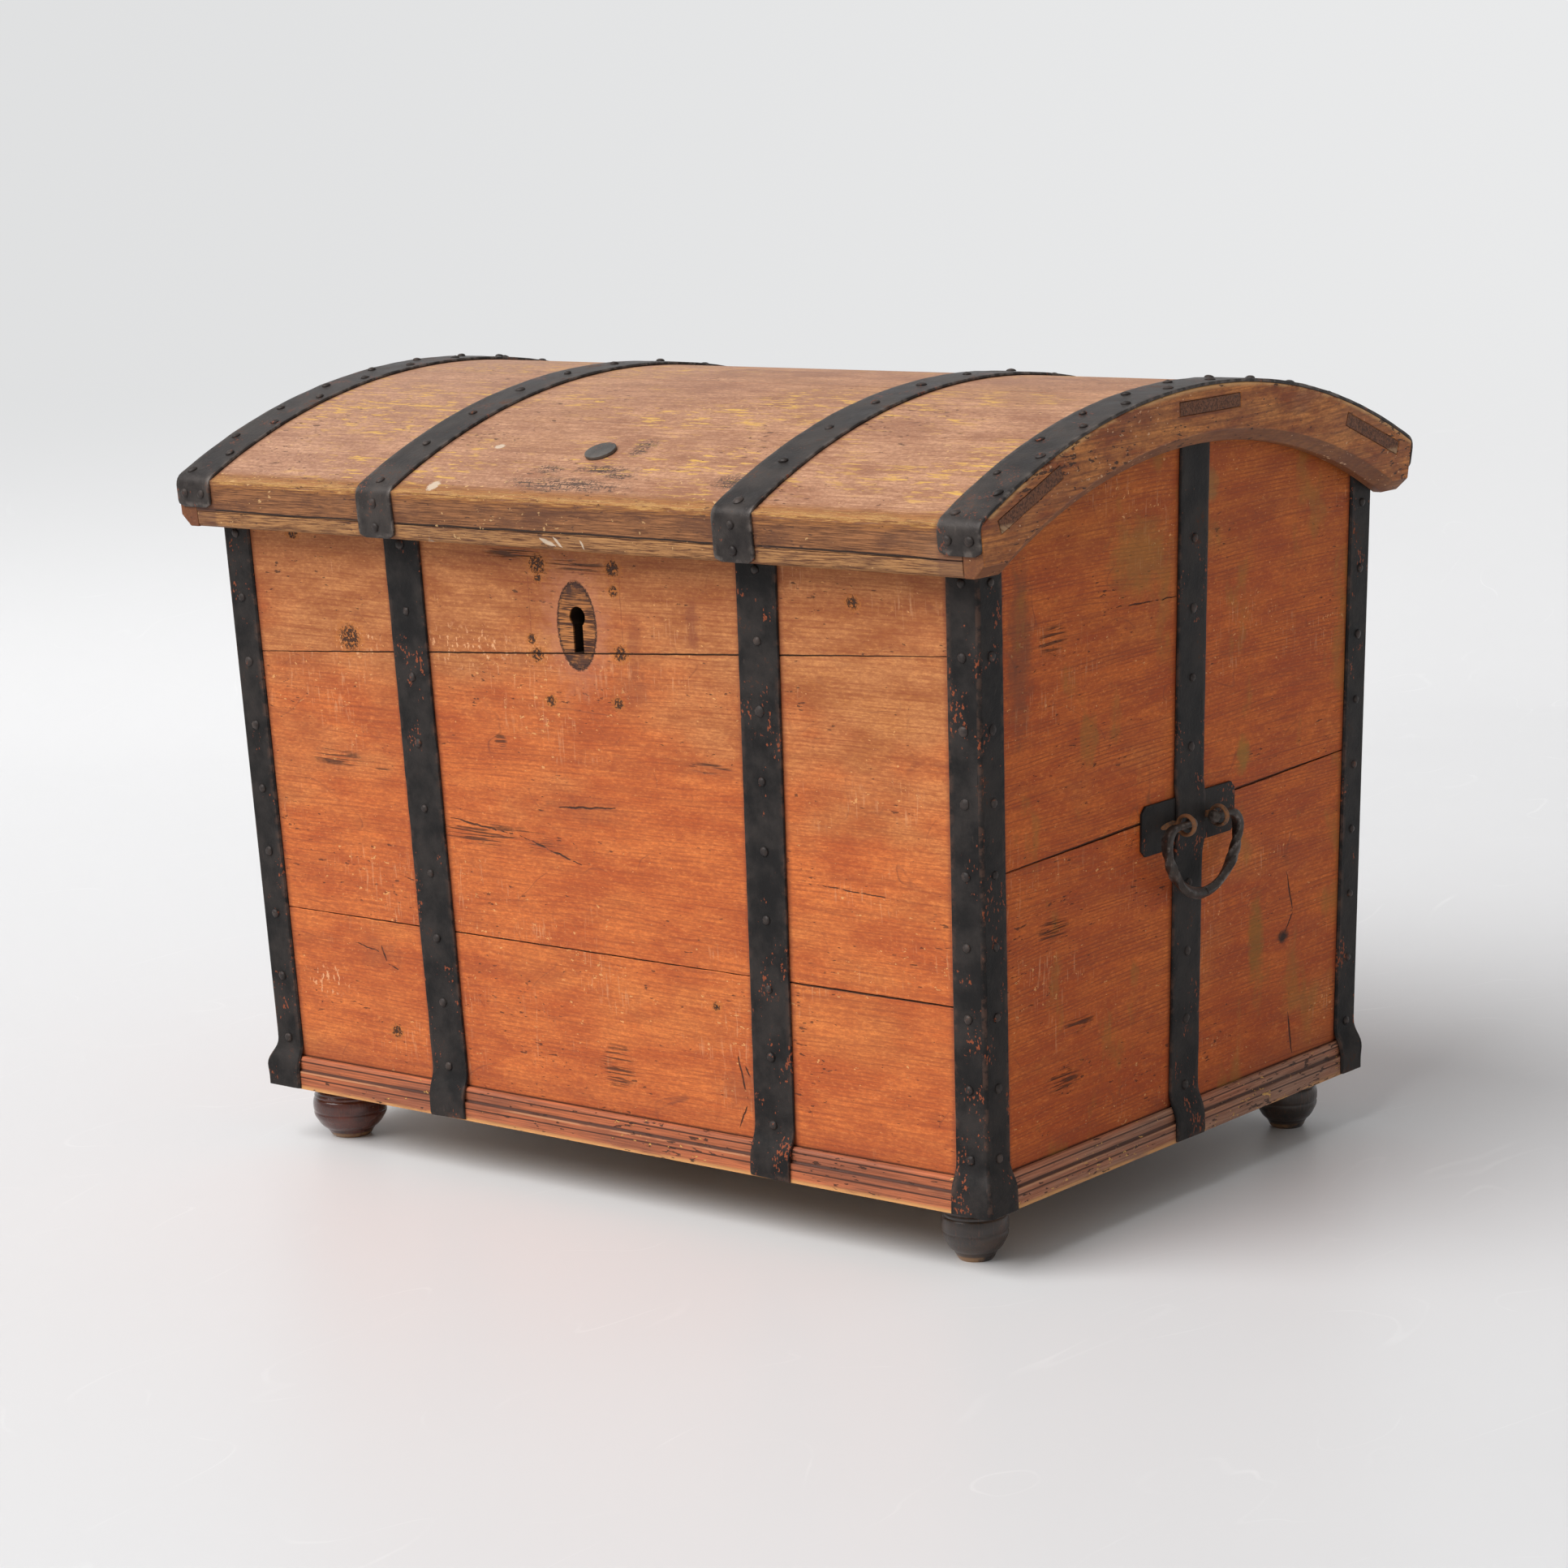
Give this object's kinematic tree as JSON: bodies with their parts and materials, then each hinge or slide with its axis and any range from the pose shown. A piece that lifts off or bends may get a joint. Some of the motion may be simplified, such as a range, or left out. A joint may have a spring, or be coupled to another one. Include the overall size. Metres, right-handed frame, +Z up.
{
  "type": "dome-lidded chest",
  "caption": "Dome-lidded wooden chest bound with iron straps and corner irons, with a hinged lid, a bolt lock, hanging end handles and turned feet.",
  "frame": {"origin": "on the floor under the middle of the chest", "axes": "+X along the chest's length, to the right of someone facing its front; -Y is the front, with the keyhole; +Z up"},
  "size_m": [0.9642, 0.6911, 0.7495],
  "materials": {
    "painted_board": "worn orange-red paint over pine",
    "bottom_wood": "bare pine, darkened",
    "lid_wood": "brownish salmon paint, worn to the wood along the grain",
    "lid_end_wood": "brown-orange paint, worn at the edges",
    "plinth_wood": "dull red-brown paint with chips",
    "foot_wood": "dark glossy paint, worn on the widest part",
    "black_iron": "wrought, blackened",
    "lid_iron": "wrought, dark grey, worn bright at the edges",
    "nail_iron": "hand-forged heads",
    "staple_iron": "rusty",
    "bail_iron": "forged, worn",
    "lock_iron": "forged, dull"
  },
  "bodies": {
    "chest": {"back_board_bottom": "painted_board", "back_board_top": "painted_board", "back_hinge_strap_left": "black_iron", "back_hinge_strap_right": "black_iron", "bottom_board_back": "bottom_wood", "bottom_board_front": "bottom_wood", "corner_iron_back_left": "black_iron", "corner_iron_back_right": "black_iron", "corner_iron_front_left": "black_iron", "corner_iron_front_right": "black_iron", "corner_iron_nails": "nail_iron", "end_strap_left": "black_iron", "end_strap_nails": "nail_iron", "end_strap_right": "black_iron", "front_board_bottom": "painted_board", "front_board_middle": "painted_board", "front_board_top": "painted_board", "front_strap_left": "black_iron", "front_strap_nails": "nail_iron", "front_strap_right": "black_iron", "handle_plate_left": "black_iron", "handle_plate_right": "black_iron", "handle_staples": "staple_iron", "hinge_pins": "lock_iron", "hinge_strap_nails": "nail_iron", "left_end_board_bottom": "painted_board", "left_end_board_top": "painted_board", "lock_case": "lock_iron", "plinth_front": "plinth_wood", "plinth_left": "plinth_wood", "plinth_right": "plinth_wood", "right_end_board_bottom": "painted_board", "right_end_board_top": "painted_board", "turned_feet": "foot_wood"},
    "lid": {"lid_back_rail": "lid_wood", "lid_band_nails": "nail_iron", "lid_end_band_left": "lid_iron", "lid_end_band_right": "lid_iron", "lid_end_board_left": "lid_end_wood", "lid_end_board_right": "lid_end_wood", "lid_front_rail": "lid_wood", "lid_hasp": "lock_iron", "lid_hinge_strap_left": "lid_iron", "lid_hinge_strap_nails": "nail_iron", "lid_hinge_strap_right": "lid_iron", "lid_stave_1": "lid_wood", "lid_stave_2": "lid_wood", "lid_stave_3": "lid_wood", "lid_stave_4": "lid_wood", "lid_stave_5": "lid_wood"},
    "lock_bolt": {"lock_bolt": "lock_iron"},
    "handle_left": {"handle_bail_left": "bail_iron"},
    "handle_right": {"handle_bail_right": "bail_iron"}
  },
  "joints": [
    {"name": "lid_hinge", "type": "hinge", "parent": "chest", "child": "lid", "pos_m": [0, 0.3268, 0.6074], "axis": [-1, 0, 0], "range_deg": [0, 105]},
    {"name": "bolt_slide", "type": "slide", "parent": "chest", "child": "lock_bolt", "axis": [1, 0, 0], "range_m": [0, 0.016]},
    {"name": "handle_left_swing", "type": "hinge", "parent": "chest", "child": "handle_left", "pos_m": [-0.45988, 0.0075, 0.352], "axis": [0, 1, 0], "range_deg": [0, 165]},
    {"name": "handle_right_swing", "type": "hinge", "parent": "chest", "child": "handle_right", "pos_m": [0.45988, 0.0075, 0.352], "axis": [0, -1, 0], "range_deg": [0, 165]}
  ]
}
